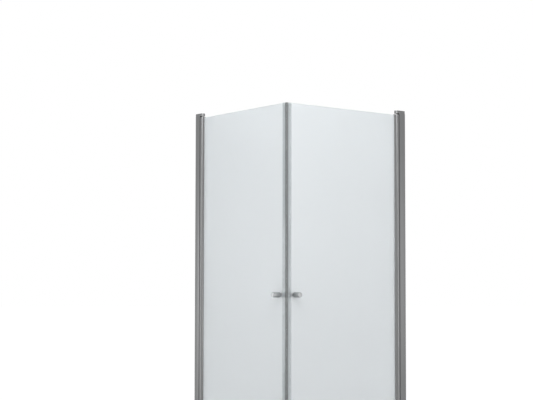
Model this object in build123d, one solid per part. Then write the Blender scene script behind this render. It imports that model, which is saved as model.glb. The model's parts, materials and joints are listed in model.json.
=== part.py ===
"""Corner-entry shower enclosure: two hinged frosted-glass doors that close against each other.

Plan view, in the corner frame: the outer faces of the two panes meet at x = 0, y = 0. The
right-hand door runs along +X to its wall at x = right_side, and the left-hand door runs along
+Y to its wall at y = left_side. Outside is -Y of the right-hand door and -X of the left-hand one.
Each piece is drawn for the right-hand side, and the left-hand one is its mirror image about x = y.
The finished pieces are moved so that the origin is the bottom centre of the whole object's box.
All sizes are in millimetres.
"""

import math
import os

from build123d import *

# Overall sizes
right_side = 790.0  # right wall to the outer face of the left-hand pane
left_side = 790.0  # left wall to the outer face of the right-hand pane
overall_height = 2000.0

# Glass panes
glass_thickness = 6.0
glass_end_setback = 24.0  # top and bottom of the post to the edge of the pane
glass_corner_setback = 11.0  # corner to the free edge of the pane
pane_edge_chamfer = 0.5

# Hinge line, post and wall channel
wall_to_axis = 49.5
tube_radius = 13.0
tube_wall = 1.8
post_depth = 41.5  # wall to the tips of the post's horns
post_wall = 1.8
post_web = 3.0  # thinnest place between the hollow front and the pocket
tube_running_gap = 1.0
adjusting_gap = 3.0  # wall to the post, which slides on the wall channel
post_corner_radius = 1.2
channel_depth = 25.0
channel_wall = 1.6
channel_slide_gap = 0.3
channel_end_gap = 1.0

# Holes in the wall channel
wall_hole_radius = 2.5
wall_hole_count = 4
wall_hole_end_distance = 100.0

# End caps of the post, with the arms that carry the pivots
arm_thickness = 15.0
arm_edge_chamfer = 0.8
tube_cap_plate = 3.0
tube_cap_spigot = 16.0
cap_screw_edge = 4.0  # outer faces of the post to the middle of each screw
cap_screw_radius = 1.65
cap_screw_length = 30.0
cap_screw_head_radius = 3.6
cap_screw_head_depth = 2.2
cap_screw_hole_radius = 1.9
screw_port_radius = 1.7
screw_port_wall = 1.5  # between a port and the pocket

# Pivots
pin_radius = 4.0
pin_in_arm = 12.0
pin_in_tube = 11.0
running_clearance = 0.05
fixed_clearance = 0.02
bush_radius = 5.0
bush_length = 12.0
bush_collar_radius = 7.0
top_bush_collar = 1.0
thrust_washer_thickness = 1.0
thrust_washer_radius = 8.0
thrust_clearance = 0.2

# Jaw of the hinge tube, which holds the pane in its gasket
jaw_reach = 20.0  # axis to the tip of the jaw
jaw_floor = 8.0  # axis to the floor of the slot
jaw_wall = 1.5
jaw_tip_radius = 0.8
gasket_wall = 0.9
gasket_clearance = 0.05

# Strip between the post and the hinge tube
gap_seal_width = 4.0
gap_seal_depth = 1.5
gap_seal_lip = 0.6
gap_seal_clearance = 0.1

# Screws that lock the post to the wall channel, under their covers
lock_screw_count = 3
lock_screw_end_distance = 120.0
lock_screw_to_wall = 12.0
lock_screw_radius = 1.9
lock_screw_hole_radius = 2.1
lock_screw_length = 9.0
lock_screw_head_radius = 3.4
lock_screw_head_height = 2.2
cover_radius = 6.0
cover_height = 4.0
cover_wall = 1.0
recess_width = 0.9
recess_length = 3.6
recess_depth = 1.2

# Seal and magnet on the free edge
seal_wall = 1.1
seal_clearance = 0.1
seal_leg = 19.0  # length of the clip's legs on the pane
magnet_wall = 0.8
magnet_clearance = 0.1
mitre_gap = 0.3  # between the two closed seals

# Seal on the bottom edge
sweep_leg = 14.0
sweep_wall = 1.1
sweep_end_gap = 0.5
sweep_floor_gap = 4.0
blade_thickness = 1.6
fin_reach = 8.0
fin_drop = 11.0
fin_thickness = 1.0

# Knobs
knob_height = 1030.0
knob_from_corner = 46.0
knob_neck_radius = 8.0
knob_head_radius = 13.5
knob_tip_radius = 12.8
knob_edge_radius = 2.5
knob_back_radius = 1.0
knob_neck_length = 8.0
outer_head_length = 44.0
inner_head_length = 13.0
knob_dish_depth = 0.8
knob_dish_radius = 9.5
washer_thickness = 1.0
stud_radius = 3.0
stud_in_knob = 14.0
sleeve_radius = 6.0
sleeve_clearance = 0.1
grub_radius = 2.0
grub_length = 4.0

# Worked-out sizes that several pieces share
axis_y = glass_thickness / 2
pane_low = glass_end_setback
pane_high = overall_height - glass_end_setback
pane_hinge_edge = jaw_floor + gasket_wall + gasket_clearance  # axis to the pane's hidden edge
jaw_half_slot = glass_thickness / 2 + gasket_wall + 2 * gasket_clearance
jaw_half_width = jaw_half_slot + jaw_wall
recess_radius = tube_radius + tube_running_gap
post_low = arm_thickness
post_high = overall_height - arm_thickness
pocket_to_wall = wall_to_axis - recess_radius - post_web
cap_screw_spread = tube_radius - cap_screw_edge  # either side of the glass plane
cap_screw_to_wall = pocket_to_wall + screw_port_wall + screw_port_radius
tube_gap = glass_end_setback - arm_thickness - tube_cap_plate
outer_knob_reach = washer_thickness + knob_neck_length + outer_head_length
origin_x = (right_side - outer_knob_reach) / 2
origin_y = (left_side - outer_knob_reach) / 2


def slab(x_low, x_high, y_low, y_high, z_low, z_high):
    """Box between two corners."""
    centre = Pos((x_low + x_high) / 2, (y_low + y_high) / 2, (z_low + z_high) / 2)
    return centre * Box(x_high - x_low, y_high - y_low, z_high - z_low)


def area(x_low, x_high, y_low, y_high):
    """Rectangle in plan between two corners."""
    centre = Pos((x_low + x_high) / 2, (y_low + y_high) / 2)
    return centre * Rectangle(x_high - x_low, y_high - y_low)


def disc(x, y, radius):
    """Circle in plan."""
    return Pos(x, y) * Circle(radius)


def upright(plan, z_low, z_high):
    """Carry a plan outline straight up from one height to another."""
    return Pos(0, 0, z_low) * extrude(plan, amount=z_high - z_low, dir=(0, 0, 1))


def rod_z(x, y, radius, z_low, z_high):
    """Round bar along Z."""
    return Pos(x, y, (z_low + z_high) / 2) * Cylinder(radius, z_high - z_low)


def rod_y(x, z, radius, y_low, y_high):
    """Round bar along Y."""
    return Pos(x, (y_low + y_high) / 2, z) * Rot(90, 0, 0) * Cylinder(radius, y_high - y_low)


def rod_x(y, z, radius, x_low, x_high):
    """Round bar along X."""
    return Pos((x_low + x_high) / 2, y, z) * Rot(0, 90, 0) * Cylinder(radius, x_high - x_low)


def spaced(low, high, count):
    """Evenly spaced places from low to high."""
    step = (high - low) / (count - 1)
    return [low + step * index for index in range(count)]


def rounded(plan, keep, radius):
    """Round the corners of a plan outline that keep() picks."""
    return fillet([corner for corner in plan.vertices() if keep(corner)], radius)


# Wall channel and post, which stay still


def wall_channel(side):
    """U profile screwed to the wall through its back, open towards the door."""
    half = tube_radius - post_wall - channel_slide_gap
    plan = area(side - channel_depth, side, axis_y - half, axis_y + half)
    inside = half - channel_wall
    plan -= area(side - channel_depth, side - channel_wall, axis_y - inside, axis_y + inside)
    low = post_low + channel_end_gap
    high = post_high - channel_end_gap
    channel = upright(plan, low, high)
    for z in spaced(wall_hole_end_distance, overall_height - wall_hole_end_distance, wall_hole_count):
        channel -= rod_x(axis_y, z, wall_hole_radius, side - 2 * channel_wall, side + channel_wall)
    for z in lock_screw_heights():
        channel -= rod_y(side - lock_screw_to_wall, z, lock_screw_hole_radius, axis_y, axis_y + tube_radius)
    return channel


def post_plan(side):
    """Post in plan: a pocket that slides over the channel, and a hollow front round the tube."""
    plan = area(side - post_depth, side - adjusting_gap, axis_y - tube_radius, axis_y + tube_radius)
    plan = rounded(plan, lambda corner: corner.X > side - post_depth / 2, post_corner_radius)
    plan -= disc(side - wall_to_axis, axis_y, recess_radius)
    half = tube_radius - post_wall
    plan -= area(side - pocket_to_wall, side, axis_y - half, axis_y + half)
    for direction in (-1, 1):
        plan -= disc(side - cap_screw_to_wall, axis_y + direction * cap_screw_spread, screw_port_radius)
    bottom = side - wall_to_axis + recess_radius
    half = gap_seal_width / 2
    plan -= area(bottom - gap_seal_lip, bottom + gap_seal_depth, axis_y - half, axis_y + half)
    return plan


def pivot_post(side):
    """Upright profile that covers the wall channel and stands beside the hinge tube."""
    post = upright(post_plan(side), post_low, post_high)
    for z in lock_screw_heights():
        post -= rod_y(side - lock_screw_to_wall, z, lock_screw_hole_radius, axis_y, axis_y + 2 * tube_radius)
    return post


def gap_seal(side):
    """Soft strip in the groove of the post, with a lip towards the hinge tube."""
    floor = side - wall_to_axis + recess_radius
    half = gap_seal_width / 2 - gap_seal_clearance
    plan = area(floor, floor + gap_seal_depth - gap_seal_clearance, axis_y - half, axis_y + half)
    plan += area(floor - gap_seal_lip, floor, axis_y - half / 2, axis_y + half / 2)
    return upright(plan, post_low, post_high)


def cap_screw_places(side):
    """Plan places of the two screws of a post cap."""
    x = side - cap_screw_to_wall
    return [(x, axis_y - cap_screw_spread), (x, axis_y + cap_screw_spread)]


def post_cap(side):
    """Bottom cap of the post, with the arm under the hinge tube and the bore for its pin."""
    axis_x = side - wall_to_axis
    plan = area(axis_x, side - adjusting_gap, axis_y - tube_radius, axis_y + tube_radius)
    plan = rounded(plan, lambda corner: corner.X > side - post_depth, post_corner_radius)
    plan += disc(axis_x, axis_y, tube_radius)
    cap = upright(plan, 0, arm_thickness)
    cap = chamfer(cap.faces().sort_by(Axis.Z)[0].edges(), arm_edge_chamfer)
    cap -= rod_z(axis_x, axis_y, pin_radius + fixed_clearance, arm_thickness - pin_in_arm, arm_thickness)
    for x, y in cap_screw_places(side):
        cap -= rod_z(x, y, cap_screw_hole_radius, 0, arm_thickness)
        cap -= countersink(x, y, fixed_clearance)
    return cap


def countersink(x, y, clearance):
    """Cone of a sunk screw head, widest at z = 0."""
    wide = cap_screw_head_radius + clearance
    narrow = cap_screw_radius + clearance
    return Pos(x, y, cap_screw_head_depth / 2) * Cone(wide, narrow, cap_screw_head_depth)


def cap_screws(side):
    """Two sunk screws, from below, through the bottom cap into the ports of the post."""
    screws = []
    for x, y in cap_screw_places(side):
        screw = countersink(x, y, 0) + rod_z(x, y, cap_screw_radius, cap_screw_head_depth, cap_screw_length)
        screw -= cross_recess(x, y)
        screws.append(screw)
    return screws


def cross_recess(x, y):
    """Cross cut into a screw head that faces down at z = 0."""
    half = recess_length / 2
    thin = recess_width / 2
    cross = slab(x - half, x + half, y - thin, y + thin, 0, recess_depth)
    return cross + slab(x - thin, x + thin, y - half, y + half, 0, recess_depth)


def pivot_pin(side):
    """Steel pin that stands in the arm and enters the bush of the hinge tube."""
    low = arm_thickness - pin_in_arm
    high = arm_thickness + tube_gap + pin_in_tube
    pin = rod_z(side - wall_to_axis, axis_y, pin_radius, low, high)
    return chamfer(pin.faces().sort_by(Axis.Z)[-1].edges(), arm_edge_chamfer)


def thrust_washer(side):
    """Slippery ring on the bottom arm, which carries the weight of the door."""
    x = side - wall_to_axis
    top = arm_thickness + thrust_washer_thickness
    ring = rod_z(x, axis_y, thrust_washer_radius, arm_thickness, top)
    return ring - rod_z(x, axis_y, pin_radius + running_clearance, arm_thickness, top)


def lock_screw_heights():
    """Heights of the screws that lock the post to the wall channel."""
    return spaced(lock_screw_end_distance, overall_height - lock_screw_end_distance, lock_screw_count)


def lock_screws(side):
    """Pan-head screws in the inner flank of the post."""
    face = axis_y + tube_radius
    x = side - lock_screw_to_wall
    screws = []
    for z in lock_screw_heights():
        head = rod_y(x, z, lock_screw_head_radius, face, face + lock_screw_head_height)
        head = fillet(head.faces().sort_by(Axis.Y)[-1].edges(), lock_screw_head_height / 2)
        top = face + lock_screw_head_height
        half = recess_length / 2
        thin = recess_width / 2
        head -= slab(x - half, x + half, top - recess_depth, top, z - thin, z + thin)
        head -= slab(x - thin, x + thin, top - recess_depth, top, z - half, z + half)
        screws.append(head + rod_y(x, z, lock_screw_radius, face - lock_screw_length, face))
    return screws


def lock_covers(side):
    """Round covers that hide the lock screws."""
    face = axis_y + tube_radius
    x = side - lock_screw_to_wall
    covers = []
    for z in lock_screw_heights():
        cover = rod_y(x, z, cover_radius, face, face + cover_height)
        cover = fillet(cover.faces().sort_by(Axis.Y)[-1].edges(), cover_height / 2)
        hollow = rod_y(x, z, cover_radius - 2 * cover_wall, face, face + cover_height - cover_wall)
        covers.append(cover - hollow)
    return covers


# Hinge tube and its ends, which turn with the door


def jaw_area(side, reach, floor, half):
    """Plan area of the jaw, or of what lies in it, between two distances from the axis."""
    axis_x = side - wall_to_axis
    return area(axis_x - reach, axis_x - floor, axis_y - half, axis_y + half)


def hinge_tube(side):
    """Round profile whose jaw grips the pane."""
    axis_x = side - wall_to_axis
    jaw = jaw_area(side, jaw_reach, jaw_floor - jaw_wall, jaw_half_width)
    jaw = rounded(jaw, lambda corner: corner.X < axis_x - tube_radius, jaw_tip_radius)
    plan = disc(axis_x, axis_y, tube_radius) - disc(axis_x, axis_y, tube_radius - tube_wall)
    plan += jaw
    plan -= jaw_area(side, jaw_reach, jaw_floor, jaw_half_slot)
    return upright(plan, pane_low, pane_high)


def tube_cap(side):
    """Bottom end cap of the hinge tube, with a spigot inside it and the bore for the bush."""
    axis_x = side - wall_to_axis
    plate = disc(axis_x, axis_y, tube_radius)
    jaw = jaw_area(side, jaw_reach, 0, jaw_half_width)
    plate += rounded(jaw, lambda corner: corner.X < axis_x - tube_radius, jaw_tip_radius)
    cap = upright(plate, pane_low - tube_cap_plate, pane_low)
    spigot = disc(axis_x, axis_y, tube_radius - tube_wall - fixed_clearance)
    back = jaw_floor - jaw_wall - fixed_clearance
    spigot -= jaw_area(side, tube_radius, back, tube_radius)
    cap += upright(spigot, pane_low, pane_low + tube_cap_spigot)
    bore = bush_radius + fixed_clearance
    return cap - rod_z(axis_x, axis_y, bore, pane_low - tube_cap_plate, pane_low + tube_cap_spigot)


def pivot_bush(side, collar):
    """Plain bearing in the end cap of the tube, with a collar towards the arm."""
    x = side - wall_to_axis
    face = pane_low - tube_cap_plate
    bush = rod_z(x, axis_y, bush_radius, face, face + bush_length)
    bush += rod_z(x, axis_y, bush_collar_radius, face - collar, face)
    return bush - rod_z(x, axis_y, pin_radius + running_clearance, face - collar, face + bush_length)


def upside_down(piece):
    """Move a piece from the bottom end to the same place at the top end."""
    return mirror(piece, about=Plane.XY.offset(overall_height / 2))


# Pane, gasket and seals, which turn with the door


def pane(side):
    """Frosted glass with one hole for the knobs."""
    hinge_edge = side - wall_to_axis - pane_hinge_edge
    glass = slab(glass_corner_setback, hinge_edge, 0, glass_thickness, pane_low, pane_high)
    glass = chamfer(glass.edges().filter_by(Axis.Z), pane_edge_chamfer)
    return glass - rod_y(knob_from_corner, knob_height, sleeve_radius, 0, glass_thickness)


def gasket(side):
    """U strip that lines the jaw round the edge of the pane."""
    outer = glass_thickness / 2 + gasket_clearance + gasket_wall
    inner = glass_thickness / 2 + gasket_clearance
    plan = jaw_area(side, jaw_reach, jaw_floor + gasket_clearance, outer)
    plan -= jaw_area(side, jaw_reach, pane_hinge_edge - gasket_clearance, inner)
    return upright(plan, pane_low, pane_high)


def mitred(x_far, y_low, y_high, inset):
    """Plan outline whose near end lies on the mitre, set back from it by the inset."""
    back = (mitre_gap / 2 + inset) * math.sqrt(2)
    return Polygon(
        (y_low + back, y_low), (x_far, y_low), (x_far, y_high), (y_high + back, y_high), align=None
    )


def magnet_seal(side):
    """Clear strip on the free edge, with a pocket for the magnet at 45 degrees to the pane."""
    outer = seal_clearance + seal_wall
    web = glass_corner_setback - seal_clearance
    leg_end = glass_corner_setback + seal_leg
    plan = mitred(leg_end, -outer, glass_thickness + outer, 0)
    plan -= area(web, leg_end, -seal_clearance, glass_thickness + seal_clearance)
    low = magnet_wall - outer
    plan -= mitred(web - seal_wall, low, glass_thickness - low, magnet_wall)
    return upright(plan, pane_low, pane_high)


def magnet(side):
    """Magnetic strip in the pocket of the seal."""
    low = magnet_wall + magnet_clearance - seal_clearance - seal_wall
    far = glass_corner_setback - seal_clearance - seal_wall - magnet_clearance
    plan = mitred(far, low, glass_thickness - low, magnet_wall + magnet_clearance)
    return upright(plan, pane_low, pane_high)


def sweep_seal(side):
    """Clear strip on the bottom edge: a clip on the pane, a blade and a fin that throws water in.

    The clip's legs stop short of the magnet seal, and what hangs below the pane runs on to the mitre.
    """
    near = -seal_clearance - sweep_wall
    leg_start = glass_corner_setback + seal_leg + sweep_end_gap
    end = side - wall_to_axis - jaw_reach - sweep_end_gap
    outer = seal_clearance + sweep_wall
    top = pane_low + sweep_leg
    floor = pane_low - seal_clearance
    base = floor - sweep_wall
    strip = slab(near, end, -outer, glass_thickness + outer, base, top)
    strip -= slab(near, end, -seal_clearance, glass_thickness + seal_clearance, floor, top)
    strip -= slab(near, leg_start, -outer, glass_thickness + outer, floor, top)
    half = blade_thickness / 2
    strip += slab(near, end, axis_y - half, axis_y + half, sweep_floor_gap, base)
    root = glass_thickness + outer
    fin = Polygon(
        (root - sweep_wall, base + fin_thickness),
        (root, base + fin_thickness),
        (root + fin_reach, base - fin_drop),
        (root + fin_reach - fin_thickness, base - fin_drop),
        (root - sweep_wall, base),
        align=None,
    )
    along = Plane(origin=(near, 0, 0), x_dir=(0, 1, 0), z_dir=(1, 0, 0))
    strip += extrude(along * fin, amount=end - near, dir=(1, 0, 0))
    keep = upright(mitred(end, -outer, root + fin_reach, 0), 0, top)
    return strip & keep


# Knobs


def knob(face, direction, head_length):
    """Turned knob on one face of the pane, with a blind bore for the stud."""
    start = washer_thickness
    shoulder = start + knob_neck_length
    end = shoulder + head_length
    outline = Polygon(
        (0, start),
        (knob_neck_radius, start),
        (knob_neck_radius, shoulder),
        (knob_head_radius, shoulder),
        (knob_tip_radius, end),
        (knob_dish_radius, end),
        (0, end - knob_dish_depth),
        align=None,
    )
    middle = (shoulder + end) / 2
    wide = knob_dish_radius
    outline = rounded(outline, lambda corner: corner.Y > middle and corner.X > wide, knob_edge_radius)
    outline = rounded(outline, lambda corner: corner.Y < middle and corner.X > wide, knob_back_radius)
    turned = revolve(outline, axis=Axis.Y)
    turned -= rod_y(0, 0, stud_radius + fixed_clearance, start, stud_reach(head_length))
    if direction < 0:
        turned = mirror(turned, about=Plane.XZ)
    return Pos(knob_from_corner, face, knob_height) * turned


def stud_reach(head_length):
    """How far the stud stands out of the pane on the side of one knob."""
    deepest = washer_thickness + knob_neck_length + head_length - 2 * knob_dish_depth - stud_radius
    return min(washer_thickness + stud_in_knob, deepest)


def knob_stud():
    """Threaded bar that joins the two knobs through the pane."""
    low = -stud_reach(outer_head_length)
    high = glass_thickness + stud_reach(inner_head_length)
    return rod_y(knob_from_corner, knob_height, stud_radius, low, high)


def knob_sleeve():
    """Plastic sleeve that keeps the stud off the glass."""
    sleeve = rod_y(knob_from_corner, knob_height, sleeve_radius - sleeve_clearance, 0, glass_thickness)
    return sleeve - rod_y(knob_from_corner, knob_height, stud_radius + fixed_clearance, 0, glass_thickness)


def knob_washers():
    """Soft rings between the knobs and the pane."""
    rings = []
    for low in (-washer_thickness, glass_thickness):
        high = low + washer_thickness
        ring = rod_y(knob_from_corner, knob_height, knob_neck_radius, low, high)
        rings.append(ring - rod_y(knob_from_corner, knob_height, stud_radius + fixed_clearance, low, high))
    return rings


def grub_place():
    """Distance along Y of the grub screw in the neck of the inner knob."""
    return glass_thickness + washer_thickness + knob_neck_length / 2


def grub_hole():
    """Bore for the grub screw, up from the underside of the neck."""
    centre = Pos(knob_from_corner, grub_place(), knob_height - knob_neck_radius / 2)
    return centre * Cylinder(grub_radius + fixed_clearance, knob_neck_radius)


def grub_screw():
    """Grub screw that locks the inner knob on the stud."""
    top = knob_height - stud_radius - fixed_clearance
    return rod_z(knob_from_corner, grub_place(), grub_radius, top - grub_length, top)


def side_pieces(side):
    """Every piece of one side, drawn for the right-hand door."""
    return {
        "wall_channel": [wall_channel(side)],
        "pivot_post": [pivot_post(side)],
        "post_gap_seal": [gap_seal(side)],
        "post_bottom_cap": [post_cap(side)],
        "post_top_cap": [upside_down(post_cap(side))],
        "bottom_cap_screws": cap_screws(side),
        "top_cap_screws": [upside_down(screw) for screw in cap_screws(side)],
        "bottom_pivot_pin": [pivot_pin(side)],
        "top_pivot_pin": [upside_down(pivot_pin(side))],
        "thrust_washer": [thrust_washer(side)],
        "lock_screws": lock_screws(side),
        "lock_screw_covers": lock_covers(side),
        "hinge_tube": [hinge_tube(side)],
        "tube_bottom_cap": [tube_cap(side)],
        "tube_top_cap": [upside_down(tube_cap(side))],
        "bottom_bush": [pivot_bush(side, tube_gap - thrust_washer_thickness - thrust_clearance)],
        "top_bush": [upside_down(pivot_bush(side, top_bush_collar))],
        "glass_pane": [pane(side)],
        "glass_gasket": [gasket(side)],
        "magnet_seal": [magnet_seal(side)],
        "magnet_strip": [magnet(side)],
        "sweep_seal": [sweep_seal(side)],
        "outer_knob": [knob(0, -1, outer_head_length)],
        "inner_knob": [knob(glass_thickness, 1, inner_head_length) - grub_hole()],
        "knob_stud": [knob_stud()],
        "knob_sleeve": [knob_sleeve()],
        "knob_washers": knob_washers(),
        "knob_grub_screw": [grub_screw()],
    }


def write(name, solids):
    """Move the solids of one piece to the object's frame and write them."""
    moved = [Pos(-origin_x, -origin_y, 0) * solid for solid in solids]
    shape = moved[0] if len(moved) == 1 else Compound(children=moved)
    export_step(shape, f"parts/{name}.step")


def main():
    os.makedirs("parts", exist_ok=True)
    swap_sides = Plane(origin=(0, 0, 0), x_dir=(0, 0, 1), z_dir=(1, -1, 0))
    for name, solids in side_pieces(right_side).items():
        write(f"right_{name}", solids)
    for name, solids in side_pieces(left_side).items():
        write(f"left_{name}", [mirror(solid, about=swap_sides) for solid in solids])
    print("origin", origin_x, origin_y)


main()
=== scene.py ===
# %% [markdown]
# # A corner shower enclosure with two hinged frosted doors
# Two panes of etched glass meet at the front corner. Each hangs on a round aluminium tube that
# turns on steel pins inside a slim post, and each post stands against its wall. The CAD model
# already fixes every size and every moving body, so it is loaded first and left as it is. This
# lesson dresses it: it replaces the pieces whose surfaces catch the light, and it gives every
# piece a finish of its own. Starting from the CAD keeps the picture and the mechanism the same.

# %% Load the fixed frame
import json
import math

import bmesh
import bpy
import numpy as np
from mathutils.geometry import tessellate_polygon
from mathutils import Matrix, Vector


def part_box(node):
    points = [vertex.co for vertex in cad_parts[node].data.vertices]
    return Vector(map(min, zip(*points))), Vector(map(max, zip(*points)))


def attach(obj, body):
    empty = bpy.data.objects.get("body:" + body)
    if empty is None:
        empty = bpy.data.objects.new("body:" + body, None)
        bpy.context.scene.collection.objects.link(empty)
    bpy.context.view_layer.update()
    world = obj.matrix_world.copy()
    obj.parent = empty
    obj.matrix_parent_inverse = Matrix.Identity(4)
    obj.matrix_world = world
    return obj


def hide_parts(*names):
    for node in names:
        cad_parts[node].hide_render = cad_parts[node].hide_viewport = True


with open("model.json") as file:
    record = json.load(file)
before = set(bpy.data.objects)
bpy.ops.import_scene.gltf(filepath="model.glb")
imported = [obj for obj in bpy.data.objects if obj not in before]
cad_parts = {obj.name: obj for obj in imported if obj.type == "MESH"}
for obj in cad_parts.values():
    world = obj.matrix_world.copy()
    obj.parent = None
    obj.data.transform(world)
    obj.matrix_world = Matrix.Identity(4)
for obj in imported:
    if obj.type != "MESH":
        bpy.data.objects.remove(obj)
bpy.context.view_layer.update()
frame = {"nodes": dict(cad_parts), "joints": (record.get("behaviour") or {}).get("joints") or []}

# %% [markdown]
# ## Places that the CAD gives
# Each piece below is drawn once, for the right-hand door, in millimetres. There are two handy
# zero points: the corner, where the outer faces of the two panes meet, and the axis of the hinge.
# Both are read from the frame, so the drawing follows the CAD. The left-hand door is the mirror
# image about the plane x = y, which only swaps two columns of the numbers.

# %% Zero points and units
MM = 0.001
pane_low, pane_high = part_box("right_glass_pane")
corner = np.array([pane_low.y, pane_low.y, 0.0])
hinges = {joint["child"]: joint for joint in frame["joints"]}
axis = np.array(hinges["right_door"]["pos_m"])
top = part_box("right_post_top_cap")[1].z / MM
knob_low, knob_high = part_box("right_outer_knob")
knob_centre = [(knob_low[i] + knob_high[i]) / 2 for i in range(3)]
knob_along = (knob_centre[0] - corner[0]) / MM
knob_height = knob_centre[2] / MM
print("corner", corner, "hinge axis", axis, "top", top, "knob", knob_along, knob_height)

# %% [markdown]
# ## Camera
# The picture was taken from far away with a long lens, from about chest height, tilted up a
# little, because the uprights close in by less than a pixel towards the top. The viewpoint was
# worked out from where the glass corner, the four post edges and the knobs lie in the picture.
# The picture is a cut from a larger one, so its middle isn't the lens's middle. A small shift
# covers that.

# %% Camera
PICTURE_WIDTH, SENSOR = 533.0, 36.0
camera_data = bpy.data.cameras.new("camera")
camera = bpy.data.objects.new("camera", camera_data)
bpy.context.scene.collection.objects.link(camera)
camera.location = (-4.1356, -5.2241, 1.0713)
heading, tilt = math.radians(38.723), math.radians(3.025)
camera.rotation_euler = (math.pi / 2 + tilt, 0.0, -heading)
focal_pixels = 1256.2
camera_data.sensor_width = SENSOR
camera_data.lens = focal_pixels / PICTURE_WIDTH * SENSOR
camera_data.shift_x = -40.0 / PICTURE_WIDTH
camera_data.shift_y = 20.0 / PICTURE_WIDTH
camera_data.clip_end = 200.0
bpy.context.scene.camera = camera
bpy.context.scene.view_settings.view_transform = "Standard"
print("lens", round(camera_data.lens, 2), "mm")

# %% [markdown]
# ## Surfaces from arrays
# Every new piece is worked out with numpy as a whole array. Three kinds of surface are enough for
# an object made of profiles and turned parts. A wall is a skin between closed rings of points. A
# lid is a flat face with holes. A turned surface spins a profile about an axis. Blender could
# also do it with curves or modifiers, but arrays state each formula openly and stay exact.

# %% Wall, lid and turned surface
def wall(rings):
    """Skin between rings: ring i, point j joins point j + 1 of its ring and point j of the next."""
    rows, around, _ = rings.shape
    i, j = np.meshgrid(np.arange(rows - 1), np.arange(around), indexing="ij")
    k = (j + 1) % around
    quads = [i * around + j, i * around + k, (i + 1) * around + k, (i + 1) * around + j]
    return rings.reshape(-1, 3), np.stack(quads, axis=-1).reshape(-1, 4)


def lid(loops):
    """Flat face inside the first loop and outside the others."""
    triangles = tessellate_polygon([loop.tolist() for loop in loops])
    return np.vstack(loops), np.array(triangles)


def turned(profile, around=96):
    """Spin rows of (radius, height) about Z: the point at angle a is (r cos a, r sin a, h)."""
    angle = np.linspace(0, 2 * np.pi, around, endpoint=False)
    radius, height = profile[:, :1], profile[:, 1:]
    rings = [radius * np.cos(angle), radius * np.sin(angle), height + 0 * angle]
    return wall(np.stack(rings, axis=-1))


# %% [markdown]
# ## Outlines
# An extruded profile is its outline carried along a straight line. A drawn corner is never quite
# sharp on real metal or plastic, and it is the small round that catches a bright line. So each
# outline is a list of corners with a radius for each, and one function puts an arc into every
# corner at once.

# %% Rounded outlines and insets
SAME_POINT = 1e-4


def rounded(corners, radii, steps=5):
    """Put an arc into each corner of a closed outline.

    With a and b the unit directions from a corner to its neighbours and h half the angle between
    them, the arc's centre lies r / sin h along a + b, and it starts r / tan h along a. The arc
    blends its first spoke into its last one by sines of the angle that is left and done.
    """
    here = np.asarray(corners, float)
    radius = np.broadcast_to(radii, len(here))[:, None]
    back, ahead = np.roll(here, 1, axis=0) - here, np.roll(here, -1, axis=0) - here
    back = back / np.linalg.norm(back, axis=1, keepdims=True)
    ahead = ahead / np.linalg.norm(ahead, axis=1, keepdims=True)
    half = np.arccos(np.clip((back * ahead).sum(axis=1, keepdims=True), -1, 1)) / 2
    middle = (back + ahead) / np.linalg.norm(back + ahead, axis=1, keepdims=True)
    centre = here + middle * radius / np.sin(half)
    first = here + back * radius / np.tan(half) - centre
    last = here + ahead * radius / np.tan(half) - centre
    turn = (np.pi - 2 * half)[:, None]
    u = np.linspace(0, 1, steps)[None, :, None]
    spokes = np.sin((1 - u) * turn) * first[:, None] + np.sin(u * turn) * last[:, None]
    outline = (centre[:, None] + spokes / np.sin(turn)).reshape(-1, 2)
    gap = np.linalg.norm(outline - np.roll(outline, 1, axis=0), axis=1)
    return outline[gap > SAME_POINT]


def arc(radius, start, end, count):
    """Points on a circle about zero, from one angle to another in degrees."""
    angle = np.radians(np.linspace(start, end, count))
    return radius * np.stack([np.cos(angle), np.sin(angle)], axis=-1)


def circle(x, y, radius, count=32):
    """Closed ring of points about a centre."""
    return np.array([x, y]) + arc(radius, 0, 360, count + 1)[:-1]


def inset(outline, amount):
    """Move each point of an anticlockwise outline inwards, square to the line of its neighbours."""
    along = np.roll(outline, -1, axis=0) - np.roll(outline, 1, axis=0)
    inwards = np.stack([-along[:, 1], along[:, 0]], axis=-1)
    return outline + amount * inwards / np.linalg.norm(inwards, axis=1, keepdims=True)


def at_height(outline, z):
    """Give a plan outline a height."""
    return np.column_stack([outline, np.full(len(outline), z)])


def extruded(loops, low, high):
    """Carry an outline and its holes from one height to another, with a flat face at each end."""
    ends = [lid([at_height(loop, z) for loop in loops]) for z in (low, high)]
    return ends + [wall(np.stack([at_height(loop, low), at_height(loop, high)])) for loop in loops]


square = [(0, 0), (4, 0), (4, 4), (0, 4)]
print("a square with four rounded corners has", len(rounded(square, 1)), "points")


# %% [markdown]
# ## From arrays to a piece
# A piece is a list of surfaces that share their edges. They are joined, the doubled points on the
# seams and poles are merged, and the faces are turned to point outwards. Walls are shaded smooth
# and lids flat, so that a large flat face has no false shade near its rounded rim. Each piece
# rides on a CAD body and has its finish, and the CAD node it stands for is hidden. Its object stays
# at the origin.

# %% Make a pair of pieces
MERGE = 2e-6
SMOOTH_UP_TO = math.radians(32)


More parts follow.
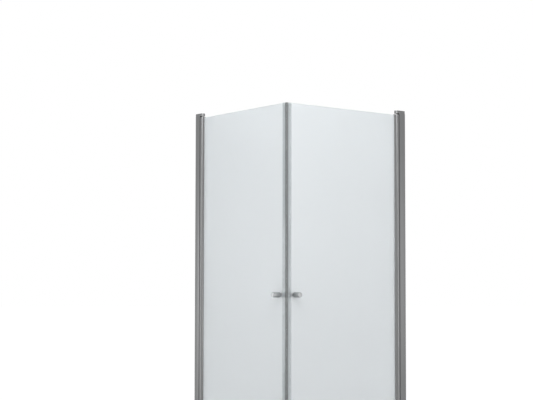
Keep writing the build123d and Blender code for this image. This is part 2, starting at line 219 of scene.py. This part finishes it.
def add_piece(name, points, surfaces, materials):
    """Put arrays into a mesh, close its seams and turn its faces outwards."""
    faces, paint, curved, before = [], [], [], 0
    for verts, quads, *kind in surfaces:
        faces += (quads + before).tolist()
        paint += [kind[0] if kind else 0] * len(quads)
        curved += [quads.shape[1] == 4] * len(quads)
        before += len(verts)
    mesh = bpy.data.meshes.new(name)
    mesh.from_pydata(points.tolist(), [], faces)
    mesh.polygons.foreach_set("material_index", paint)
    mesh.polygons.foreach_set("use_smooth", curved)
    shape = bmesh.new()
    shape.from_mesh(mesh)
    bmesh.ops.remove_doubles(shape, verts=shape.verts, dist=MERGE)
    bmesh.ops.recalc_face_normals(shape, faces=shape.faces)
    shape.to_mesh(mesh)
    shape.free()
    smooth = np.empty(len(mesh.polygons), bool)
    mesh.polygons.foreach_get("use_smooth", smooth)
    mesh.set_sharp_from_angle(angle=SMOOTH_UP_TO)
    mesh.polygons.foreach_set("use_smooth", smooth)
    for material in materials:
        mesh.materials.append(material)
    piece = bpy.data.objects.new(name, mesh)
    bpy.context.scene.collection.objects.link(piece)
    return piece


def add_pair(node, part, body, materials, zero, surfaces):
    """Place one side's surfaces from its zero point, and mirror them for the other side."""
    drawn = zero + MM * np.vstack([verts for verts, *_ in surfaces])
    for side, order in (("right", [0, 1, 2]), ("left", [1, 0, 2])):
        piece = add_piece(f"{side}_{part}", drawn[:, order], surfaces, materials)
        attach(piece, body if body == "root" else f"{side}_{body}")
        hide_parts(f"{side}_{node}")
    print(part, "faces", len(piece.data.polygons), "a side")


# %% [markdown]
# ## Helpers for shader nodes
# Real finishes vary over the surface, and Blender makes that with shader nodes. Each effect below
# is one small node group that several finishes share, with values of its own in each. All of them
# read Object coordinates, in metres, so that a pattern is the same size on every piece. Two
# helpers keep the cells short: one adds a node and fills its inputs, one starts a group.

# %% Node helpers
def add_node(tree, kind, **values):
    """Add a shader node, set its options, and set or link its inputs.

    A name such as i0 means input number 0, and any other name has spaces for its underscores.
    """
    node = tree.nodes.new(kind)
    for name, value in values.items():
        if hasattr(node, name) and name not in node.inputs:
            setattr(node, name, value)
            continue
        by_number = name[1:].isdigit()
        socket = node.inputs[int(name[1:]) if by_number else name.replace("_", " ")]
        if isinstance(value, bpy.types.NodeSocket):
            tree.links.new(value, socket)
        else:
            socket.default_value = value
    return node


def new_effect(name, inputs, outputs):
    """Start a node group with named inputs and outputs."""
    tree = bpy.data.node_groups.new(name, "ShaderNodeTree")
    for label, kind, value in inputs:
        socket = tree.interface.new_socket(label, in_out="INPUT", socket_type=kind)
        if value is not None:
            socket.default_value = value
    for label in outputs:
        tree.interface.new_socket(label, in_out="OUTPUT", socket_type="NodeSocketFloat")
    return tree, tree.nodes.new("NodeGroupInput").outputs, tree.nodes.new("NodeGroupOutput").inputs


FLOAT, VECTOR = "NodeSocketFloat", "NodeSocketVector"
print("helpers ready")

# %% [markdown]
# ## Effect: die lines
# Metal or plastic that is pushed through a die keeps fine lines along its length. A noise that is
# squeezed hard across the profile and hardly along it gives such lines. A second, broader noise
# makes whole bands a little lighter or darker, as on a real bar.

# %% Die lines
die_lines, given, result = new_effect(
    "Die lines",
    [("Vector", VECTOR, None), ("Fineness", FLOAT, 900.0), ("Drift", FLOAT, 1.5)],
    ["Height", "Streak"],
)
across = given["Fineness"]
squeeze = add_node(die_lines, "ShaderNodeCombineXYZ", X=across, Y=across, Z=given["Drift"])
squeeze = squeeze.outputs[0]
lined = add_node(
    die_lines, "ShaderNodeVectorMath", operation="MULTIPLY", i0=given["Vector"], i1=squeeze
).outputs[0]
fine = add_node(
    die_lines, "ShaderNodeTexNoise", Vector=lined, Scale=1.0, Detail=3.0, Roughness=0.6
)
broad = add_node(
    die_lines, "ShaderNodeTexNoise", Vector=lined, Scale=0.12, Detail=2.0, Roughness=0.5
)
die_lines.links.new(fine.outputs["Fac"], result["Height"])
die_lines.links.new(broad.outputs["Fac"], result["Streak"])
print("effect", die_lines.name, "nodes", len(die_lines.nodes))

# %% [markdown]
# ## Effect: fine grain
# Etched glass, cast metal and moulded plastic have no direction, only a grain. It is a small noise
# with the round pits of a cell pattern laid over it, which is how an etched face looks close up.

# %% Fine grain
fine_grain, given, result = new_effect(
    "Fine grain",
    [("Vector", VECTOR, None), ("Fineness", FLOAT, 2500.0), ("Depth", FLOAT, 1.0)],
    ["Height", "Grain"],
)
where, size = given["Vector"], given["Fineness"]
small = add_node(fine_grain, "ShaderNodeTexNoise", Vector=where, Scale=size, Detail=2.0)
small = small.outputs["Fac"]
pits = add_node(fine_grain, "ShaderNodeTexVoronoi", Vector=where, Scale=size).outputs["Distance"]
both = add_node(fine_grain, "ShaderNodeMath", operation="MULTIPLY_ADD", i0=pits, i1=0.35, i2=small)
deep = add_node(
    fine_grain, "ShaderNodeMath", operation="MULTIPLY", i0=both.outputs[0], i1=given["Depth"]
)
fine_grain.links.new(deep.outputs[0], result["Height"])
fine_grain.links.new(small, result["Grain"])
print("effect", fine_grain.name, "nodes", len(fine_grain.nodes))

# %% [markdown]
# ## Effect: soft clouds
# Anodising, etching and handling leave large soft patches that are hardly seen but keep a face
# from looking computed. A slow noise is pulled apart about its middle value by a contrast.

# %% Soft clouds
soft_clouds, given, result = new_effect(
    "Soft clouds",
    [("Vector", VECTOR, None), ("Scale", FLOAT, 6.0), ("Contrast", FLOAT, 1.0)],
    ["Cloud"],
)
where, size = given["Vector"], given["Scale"]
cloud = add_node(
    soft_clouds, "ShaderNodeTexNoise", Vector=where, Scale=size, Detail=4.0, Roughness=0.55
)
centred = add_node(
    soft_clouds, "ShaderNodeMath", operation="SUBTRACT", i0=cloud.outputs["Fac"], i1=0.5
)
spread = add_node(
    soft_clouds, "ShaderNodeMath", operation="MULTIPLY_ADD", use_clamp=True,
    i0=centred.outputs[0], i1=given["Contrast"], i2=0.5,
)
soft_clouds.links.new(spread.outputs[0], result["Cloud"])
print("effect", soft_clouds.name, "nodes", len(soft_clouds.nodes))

# %% [markdown]
# ## One recipe for the finishes
# All finishes have the same build: a colour that drifts between two near values, a roughness that
# drifts too, and a fine relief that feeds the normal. What sets them apart is the effect behind the
# relief and the plain numbers on the shader itself: metal or not, glass or not, how much it bends
# light. Those plain numbers are set on the shader, because they are the same all over the surface.

# %% Build a finish
CONTRAST = 1.6


def finish(name, dark, light, rough, relief, depth, clouds, turn=(0, 0, 0), streaks=0.5, **plain):
    """Material whose colour and roughness follow the clouds and the relief's own pattern.

    The colour and the roughness go from their first value to their second as the mixed pattern
    goes from 0 to 1. depth is the height of the relief in metres, clouds is how many clouds a
    metre holds, and streaks is the share of the relief's own pattern in the mix.
    """
    material = bpy.data.materials.new(name)
    material.use_nodes = True
    tree = material.node_tree
    shader = tree.nodes["Principled BSDF"]
    place = add_node(tree, "ShaderNodeTexCoord").outputs["Object"]
    place = add_node(tree, "ShaderNodeMapping", Vector=place, Rotation=turn).outputs[0]
    effect, values = relief
    pattern = add_node(tree, "ShaderNodeGroup", node_tree=effect, Vector=place, **values)
    cloud = add_node(
        tree, "ShaderNodeGroup", node_tree=soft_clouds, Vector=place,
        Scale=clouds, Contrast=CONTRAST,
    )
    mix = add_node(tree, "ShaderNodeMix", i0=streaks, i2=cloud.outputs[0], i3=pattern.outputs[1])
    mix = mix.outputs[0]
    colour = add_node(
        tree, "ShaderNodeMix", data_type="RGBA", i0=mix, i6=(*dark, 1), i7=(*light, 1)
    )
    tree.links.new(colour.outputs[2], shader.inputs["Base Color"])
    ramp = add_node(tree, "ShaderNodeMapRange", Value=mix, To_Min=rough[0], To_Max=rough[1])
    tree.links.new(ramp.outputs[0], shader.inputs["Roughness"])
    bump = add_node(tree, "ShaderNodeBump", Height=pattern.outputs[0], Distance=depth, Strength=1.0)
    tree.links.new(bump.outputs[0], shader.inputs["Normal"])
    for socket, value in plain.items():
        shader.inputs[socket.replace("_", " ")].default_value = value
    material.diffuse_color = (*light, 1)
    return material


def grey(value, warm=0.0):
    """Neutral colour, a little warmer or cooler."""
    return (value * (1 + warm), value, value * (1 - warm))


print("a cool grey", grey(0.2, -0.01))

# %% [markdown]
# ## Metals
# The posts and hinge tubes are extruded aluminium with a satin anodised finish: die lines run the
# whole height. The end caps are cast and painted to match, so they have grain in place of lines.
# The knobs are turned brass with satin chrome plating, lighter than the aluminium and without
# lines. Pins and screws are stainless steel.

# %% Metal finishes
lines = (die_lines, {"Fineness": 700.0, "Drift": 1.2})
cast_grain = (fine_grain, {"Fineness": 1800.0})
plating = (fine_grain, {"Fineness": 500.0})
satin_aluminium = finish(
    "satin_aluminium", grey(0.175, -0.01), grey(0.207, -0.01), (0.28, 0.38), lines, 0.00002,
    clouds=2.5, Metallic=1.0,
)
cast_metal = finish(
    "cast_metal", grey(0.180, -0.01), grey(0.212, -0.01), (0.40, 0.52), cast_grain, 0.00004,
    clouds=30.0, Metallic=1.0,
)
chrome = finish(
    "chrome", grey(0.37, -0.02), grey(0.42, -0.02), (0.30, 0.38), plating, 0.0000015,
    clouds=60.0, streaks=0.15, Metallic=1.0,
)
steel = finish(
    "steel", grey(0.38), grey(0.46), (0.18, 0.32), lines, 0.00001, clouds=40.0, Metallic=1.0
)
print("metals", [metal.name for metal in (satin_aluminium, cast_metal, chrome, steel)])

# %% [markdown]
# ## Frosted glass
# The panes are safety glass with an etched face: a skin of microscopic pits that spreads the light,
# so that the pane glows evenly and shows only a soft shade of what is close behind it. Part of the
# light goes through, bent and scattered by a high roughness. The pits throw the rest back as a pale
# even tone. The transmission weight sets the two shares, and the colour has a trace of blue-green.
# The ground edges are clearer and greener than the faces, so they get a finish of their own.

# %% Glass finishes
etched = (fine_grain, {"Fineness": 3000.0})
frosted_glass = finish(
    "frosted_glass", (0.785, 0.815, 0.832), (0.812, 0.840, 0.856), (0.50, 0.60), etched, 0.00001,
    clouds=1.6, streaks=0.15, Transmission_Weight=0.60, IOR=1.50,
)
glass_edge = finish(
    "glass_edge", (0.55, 0.70, 0.66), (0.62, 0.76, 0.72), (0.18, 0.30), etched, 0.00002,
    clouds=25.0, Transmission_Weight=0.80, IOR=1.50,
)
print("glass", frosted_glass.name, glass_edge.name)

# %% [markdown]
# ## Plastics and rubber
# The seal on each free edge is a clear extruded strip with a dark magnet inside. Clear plastic is
# never as clear as glass: it has a haze, a grey-blue tone and fine lines along its length. The
# sweeps under the doors are the same plastic, but they lie down, so the pattern is turned to run
# along them. The gaskets are dark rubber, the bushes white acetal and the covers grey plastic.

# %% Plastic and rubber finishes
def clear_strip(name, turn):
    """Clear plastic whose die lines run up, or along X or Y once the pattern is turned."""
    return finish(
        name, (0.775, 0.80, 0.81), (0.83, 0.855, 0.865), (0.07, 0.14), lines, 0.000003,
        clouds=8.0, turn=turn, Transmission_Weight=0.89, IOR=1.47,
    )


clear_plastic = clear_strip("clear_plastic", (0, 0, 0))
sweeps = {
    "right_sweep_seal": clear_strip("sweep_plastic_along_x", (0, math.pi / 2, 0)),
    "left_sweep_seal": clear_strip("sweep_plastic_along_y", (math.pi / 2, 0, 0)),
}
magnet_grain = (fine_grain, {"Fineness": 1500.0})
magnet_rubber = finish(
    "magnet_rubber", (0.022, 0.029, 0.030), (0.034, 0.043, 0.044), (0.45, 0.6), magnet_grain,
    0.00003, clouds=20.0,
)
dark_rubber = finish("dark_rubber", grey(0.13), grey(0.16), (0.5, 0.7), lines, 0.00003, clouds=20.0)
bush_grain = (fine_grain, {"Fineness": 1200.0})
acetal = finish(
    "acetal", grey(0.72, 0.01), grey(0.78, 0.01), (0.32, 0.42), bush_grain, 0.00001, clouds=60.0
)
cover_grain = (fine_grain, {"Fineness": 2200.0})
moulded = finish(
    "moulded_grey", grey(0.20), grey(0.235), (0.42, 0.55), cover_grain, 0.00003, clouds=50.0
)
print("finishes", len(bpy.data.materials))

# %% [markdown]
# ## Dress the CAD pieces
# Pins, bushes, washers, screws, gaskets and the wall channels already have the right shape, so the
# CAD nodes stay and only get a finish. The record names a slot for each node, which picks it.

# %% Finish of each CAD node
by_slot = {
    "satin_aluminium": satin_aluminium,
    "cast_end_cap": cast_metal,
    "polished_chrome": chrome,
    "stainless_steel": steel,
    "frosted_glass": frosted_glass,
    "clear_plastic": clear_plastic,
    "magnet_rubber": magnet_rubber,
    "grey_seal": dark_rubber,
    "white_acetal": acetal,
    "grey_plastic": moulded,
}
for name, node in frame["nodes"].items():
    slots = node.data.materials
    old = slots[0].name.split(".")[0]
    slots[0] = sweeps.get(name, by_slot[old])
print("dressed", len(frame["nodes"]), "CAD nodes")

# %% [markdown]
# ## Hinge tubes
# Each hinge tube is one extrusion: a 26 mm round tube with a jaw that grips the pane. Its outline
# is most of a circle, two flanks and a slot. A second loop inside it is the hollow. Carried up the
# height of the pane, the round back gives the bright line beside the glass.

# %% Hinge tubes
tube_radius, tube_inside = 13.0, 11.2
jaw_tip, jaw_floor, jaw_back, jaw_half, slot_half = -20.0, -8.0, -6.5, 5.5, 4.0
meets = 180 - math.degrees(math.asin(jaw_half / tube_radius))
back_points, hollow_points = 73, 49
round_back = arc(tube_radius, -meets, meets, back_points)
jaw = [
    (jaw_tip, jaw_half), (jaw_tip, slot_half), (jaw_floor, slot_half),
    (jaw_floor, -slot_half), (jaw_tip, -slot_half), (jaw_tip, -jaw_half),
]
corner_radii = [0.4] + [0.0] * (back_points - 2) + [0.4] + [0.7, 0.4, 0.3, 0.3, 0.4, 0.7]
tube_outline = rounded(np.vstack([round_back, jaw]), corner_radii)
meets_inside = 180 - math.degrees(math.asin(jaw_half / tube_inside))
hollow_arc = arc(tube_inside, -meets_inside, meets_inside, hollow_points)
hollow = np.vstack([hollow_arc, [(jaw_back, jaw_half), (jaw_back, -jaw_half)]])
tube_low, tube_high = pane_low.z / MM, pane_high.z / MM
add_pair(
    "hinge_tube", "round_hinge_tube", "door", [satin_aluminium], axis,
    extruded([tube_outline, hollow], tube_low, tube_high),
)

# %% [markdown]
# ## Posts
# The post slides over the channel on the wall, so its back is a pocket. Its front is hollowed to
# hug the hinge tube, and the two horns leave a thin dark line on each side of it. Two round ports
# take the screws of the end caps.

# %% Posts
post_front, post_back, pocket_front = 8.0, 46.5, 17.0
post_half, pocket_half = 13.0, 11.2
hug, groove_floor, groove_half = 14.0, 15.5, 2.0
horn = math.degrees(math.acos(post_front / hug))
lip = math.degrees(math.asin(groove_half / hug))
flank = [
    (post_front, -post_half), (post_back, -post_half),
    (post_back, -pocket_half), (pocket_front, -pocket_half),
    (pocket_front, pocket_half), (post_back, pocket_half),
    (post_back, post_half), (post_front, post_half),
]
flank_radii = [0.4, 1.2, 0.3, 0.3, 0.3, 0.3, 1.2, 0.4]
groove = [(groove_floor, groove_half), (groove_floor, -groove_half)]
hug_points = 13
post_corners = np.vstack([
    flank, arc(hug, horn, lip, hug_points), groove, arc(hug, -lip, -horn, hug_points)
])
sharp = [0.0] * (hug_points - 1)
post_radii = flank_radii + [0.3] + sharp + [0.2, 0.2] + sharp + [0.3]
post_outline = rounded(post_corners, post_radii)
screw_x, screw_y, port_radius, port_points = 13.8, 9.0, 1.7, 20
ports = [circle(screw_x, side * screw_y, port_radius, port_points) for side in (-1, 1)]
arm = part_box("right_post_bottom_cap")[1].z / MM
add_pair(
    "pivot_post", "slim_post", "root", [satin_aluminium], axis,
    extruded([post_outline, *ports], arm, top - arm),
)

# %% [markdown]
# ## End caps of the posts
# Each post ends in a cast cap with an arm that reaches over the hinge tube and holds its pin. The
# outer edge is rounded: ring after ring of the outline is drawn in by r (1 - sin a) while it rises
# by r (1 - cos a). Two sunk screws pass through, and the arm has a blind bore for the pin.

# %% End caps
EDGE, BREAK = 1.0, 0.2
sink_radius, shank_radius, sink_depth = 3.62, 1.9, 1.94
bore_radius, bore_floor = 4.02, 3.0
cap_corner, nose_points = 1.2, 41
nose = arc(tube_radius, 90, 270, nose_points)
cap_outline = rounded(
    np.vstack([[(post_back, post_half)], nose, [(post_back, -post_half)]]),
    [cap_corner] + [0.0] * nose_points + [cap_corner],
)


def post_cap(height):
    """Cap whose outer face is at depth 0. height() turns a depth into a height."""
    a = np.linspace(0, np.pi / 2, 7)
    depths = np.concatenate([EDGE * (1 - np.cos(a)), [arm - BREAK, arm]])
    insets = np.concatenate([EDGE * (1 - np.sin(a)), [0.0, BREAK]])
    rings = [at_height(inset(cap_outline, i), height(d)) for d, i in zip(depths, insets)]

    def drilled(x, y, steps):
        """Round hole whose radius changes with depth."""
        return np.stack([at_height(circle(x, y, r), height(d)) for r, d in steps])

    sink = [(sink_radius, 0.0), (shank_radius, sink_depth), (shank_radius, arm)]
    holes = [drilled(screw_x, side * screw_y, sink) for side in (-1, 1)]
    bore = drilled(0, 0, [(bore_radius, arm), (bore_radius, bore_floor), (0, bore_floor)])
    outer_face = lid([rings[0], holes[0][0], holes[1][0]])
    inner_face = lid([rings[-1], holes[0][-1], holes[1][-1], bore[0]])
    return [outer_face, inner_face] + [wall(rows) for rows in (np.stack(rings), *holes, bore)]


for end, height in (("bottom", lambda depth: depth), ("top", lambda depth: top - depth)):
    add_pair(
        f"post_{end}_cap", f"{end}_arm_cap", "root", [cast_metal], axis,
        post_cap(height),
    )

# %% [markdown]
# ## Panes
# A pane is 6 mm thick with ground edges: the rectangle is drawn in by r (1 - sin a) near each face,
# where the grinding took the sharp edge off. The rim of the hole for the knobs opens by half as
# much. The four corners are a little round. The ground rim has its own finish on the same piece.

# %% Panes
THICK, GROUND, PANE_CORNER = 6.0, 0.7, 1.5
pane_near = (pane_low.x - corner[0]) / MM
pane_far = (pane_high.x - corner[0]) / MM
hole_radius, hole_points = 6.0, 40
rectangle = [
    (pane_near, tube_low), (pane_far, tube_low), (pane_far, tube_high), (pane_near, tube_high)
]
rim = rounded(rectangle, PANE_CORNER, steps=6)
hole = circle(knob_along, knob_height, hole_radius, hole_points)
a = np.linspace(0, np.pi / 2, 5)
into = np.concatenate([GROUND * (1 - np.cos(a)), THICK - GROUND * (1 - np.cos(a[::-1]))])
drawn_in = np.concatenate([GROUND * (1 - np.sin(a)), GROUND * (1 - np.sin(a[::-1]))])


def standing(outline, y):
    """Stand an outline of (along, height) upright at a distance y from the outer face."""
    return np.column_stack([outline[:, 0], np.full(len(outline), y), outline[:, 1]])


rim_rings = np.stack([standing(inset(rim, i), y) for i, y in zip(drawn_in, into)])
hole_rings = np.stack([standing(inset(hole, -i / 2), y) for i, y in zip(drawn_in, into)])
pane_faces = [lid([rim_rings[end], hole_rings[end]]) for end in (0, -1)]
add_pair(
    "glass_pane", "etched_pane", "door", [frosted_glass, glass_edge], corner,
    pane_faces + [(*wall(rim_rings), 1), (*wall(hole_rings), 1)],
)

# %% [markdown]
# ## Magnetic seals
# A clear strip clips over the free edge of each pane. Its nose is cut at 45 degrees, so that the
# two doors meet on a mitre, and a pocket behind the nose holds the magnet. It is an extrusion of
# constant outline, with small rounds on the tips of its legs.

# %% Magnetic seals
leg_end, web = 30.0, 10.9
outside, clip = 1.2, 0.1
nose_outer, nose_inner = -0.988, 7.412
legs = [
    (nose_outer, -outside), (leg_end, -outside), (leg_end, -clip), (web, -clip),
    (web, THICK + clip), (leg_end, THICK + clip), (leg_end, THICK + outside),
    (nose_inner, THICK + outside),
]
seal_outline = rounded(legs, [0.3, 0.5, 0.5, 0.3, 0.3, 0.5, 0.5, 0.3])
pocket = rounded([(0.9435, -0.4), (9.8, -0.4), (9.8, 6.4), (7.7435, 6.4)], 0.05)
add_pair(
    "magnet_seal", "clear_edge_seal", "door", [clear_plastic], corner,
    extruded([seal_outline, pocket], tube_low, tube_high),
)

# %% [markdown]
# ## Knobs
# The outer knobs are turned from a bar: a neck against the glass, a shoulder with a fine groove, a
# body that tapers a little and a shallow dish in the end. A blind bore in the neck takes the stud
# that joins it to the inner knob. The profile is a list of radius and distance from the glass,
# from the floor of the bore to the middle of the dish, with its corners rounded, spun about the
# knob's axis. The inner knobs are the CAD's own, because they hold a grub screw in a side bore.

# %% Outer knobs
bore = [(0.0, 15.2), (3.05, 15.2), (3.05, 1.0)]
neck = [(8.0, 1.0), (8.0, 9.0), (13.5, 9.0)]
groove = [(13.42, 12.0), (13.1, 12.2), (13.1, 12.8), (13.4, 13.0)]
dish = [(12.8, 53.0), (9.6, 53.0), (9.2, 52.3), (0.0, 52.2)]
knob_radii = [0, 0, 0.2] + [0.4, 0.5, 0.9] + [0.15, 0.1, 0.1, 0.15] + [2.4, 0.25, 0.3, 0]
knob_profile = rounded(bore + neck + groove + dish, knob_radii, steps=6)
points, quads = turned(knob_profile)
spun = np.column_stack([points[:, 0] + knob_along, -points[:, 2], points[:, 1] + knob_height])
add_pair("outer_knob", "turned_knob", "door", [chrome], corner, [(spun, quads)])

# %% [markdown]
# ## Floor
# The picture shows the object on pure white. The floor is a wide pale disc that keeps the soft
# shadow. The rays that the camera, a reflection or the glass sends out also find a little light of
# its own in it, less near the object and more far away, where fewer lamps reach. That brings the
# plain parts to white, and no more light falls on the object for it. Near the object the glow is
# also held a little lower than evening out the lamps needs. That is painted shade: a faint grey on
# the floor round the object, which the lower glass shows too.

# %% Floor
def seen_rays(tree):
    """1 for camera, mirror and glass rays, and 0 for the light that falls on things."""
    path = add_node(tree, "ShaderNodeLightPath").outputs
    mask = path["Is Camera Ray"]
    for kind in ("Is Glossy Ray", "Is Transmission Ray"):
        larger = add_node(tree, "ShaderNodeMath", operation="MAXIMUM", i0=mask, i1=path[kind])
        mask = larger.outputs[0]
    return mask


# The glow near the object is held low on purpose: painted shade round the object, also seen through
# the lower glass.
FLOOR_COLOUR, SHADED_NEAR_GLOW, FAR_GLOW = 0.80, 0.22, 0.66
FADE_START, FADE_END = 1.2, 5.0
floor_finish = bpy.data.materials.new("pale_floor")
floor_finish.use_nodes = True
floor_tree = floor_finish.node_tree
floor_shader = floor_tree.nodes["Principled BSDF"]
floor_shader.inputs["Base Color"].default_value = (FLOOR_COLOUR, FLOOR_COLOUR, FLOOR_COLOUR, 1)
floor_shader.inputs["Roughness"].default_value = 1.0
floor_shader.inputs["Specular IOR Level"].default_value = 0.0
floor_shader.inputs["Emission Color"].default_value = (1, 1, 1, 1)
floor_place = add_node(floor_tree, "ShaderNodeTexCoord").outputs["Object"]
from_middle = add_node(floor_tree, "ShaderNodeVectorMath", operation="LENGTH", i0=floor_place)
fade = add_node(
    floor_tree, "ShaderNodeMapRange", Value=from_middle.outputs["Value"],
    From_Min=FADE_START, From_Max=FADE_END, To_Min=SHADED_NEAR_GLOW, To_Max=FAR_GLOW,
)
glow = add_node(
    floor_tree, "ShaderNodeMath", operation="MULTIPLY", i0=seen_rays(floor_tree), i1=fade.outputs[0]
)
floor_tree.links.new(glow.outputs[0], floor_shader.inputs["Emission Strength"])

floor_level = -MM
disc = [(radius, floor_level) for radius in (0.0, 2.0, 8.0, 60.0)]
disc_points, disc_quads = turned(np.array(disc), 64)
floor_mesh = bpy.data.meshes.new("floor")
floor_mesh.from_pydata(disc_points.tolist(), [], disc_quads.tolist())
floor_mesh.materials.append(floor_finish)
floor = bpy.data.objects.new("floor", floor_mesh)
bpy.context.scene.collection.objects.link(floor)
print("floor reaches", floor.dimensions.x / 2, "m from the middle")

# %% [markdown]
# ## Sky
# The sky is an even white dome. Seen directly, in metal or through glass it has strength 1, which
# is white. As a light it is weaker, so that the lamps can shape the object.

# %% Sky
SKY = 0.45
world = bpy.data.worlds.new("sky")
bpy.context.scene.world = world
world.use_nodes = True
sky = world.node_tree
level = add_node(sky, "ShaderNodeMapRange", Value=seen_rays(sky), To_Min=SKY, To_Max=1.0)
background = sky.nodes["Background"]
background.inputs["Color"].default_value = (1, 1, 1, 1)
sky.links.new(level.outputs[0], background.inputs["Strength"])
print("sky light", SKY)

# %% [markdown]
# ## Lamps
# Large lamps give soft shadows, as in a studio. One high in front makes the panes lighter at the
# top. Two tall narrow ones draw the bright line down each round tube. Two at the sides light the
# flat faces of the posts, and one overhead reaches the inside.

# %% Lamps
def add_lamp(name, place, aim, size, power):
    """Large soft lamp at a place, turned towards a point."""
    data = bpy.data.lights.new(name, "AREA")
    data.shape, data.size, data.size_y, data.energy = "RECTANGLE", size[0], size[1], power
    lamp = bpy.data.objects.new(name, data)
    bpy.context.scene.collection.objects.link(lamp)
    lamp.location = place
    towards = np.array(aim) - np.array(place)
    across = math.hypot(towards[0], towards[1])
    heading = math.atan2(-towards[0], towards[1])
    lamp.rotation_euler = (math.atan2(across, -towards[2]), 0.0, heading)
    return lamp


middle, level_front = (0.0, 0.0, 1.1), (0.0, 0.0, 1.3)
lamps = [
    add_lamp("high_front", (-1.7, -2.1, 3.2), (0.0, 0.0, 2.2), (1.2, 1.2), 60),
    add_lamp("left_strip", (-3.2, -0.2, 1.3), level_front, (0.3, 2.4), 15),
    add_lamp("right_strip", (0.5, -3.4, 1.3), level_front, (0.3, 2.4), 15),
    add_lamp("left_side", (-2.9, 2.6, 1.0), middle, (1.0, 1.2), 8),
    add_lamp("right_side", (2.6, -2.9, 1.2), middle, (1.0, 1.2), 3),
    add_lamp("overhead", (0.1, 0.1, 3.0), middle, (0.8, 0.8), 22),
]
print("lamps", [lamp.name for lamp in lamps])
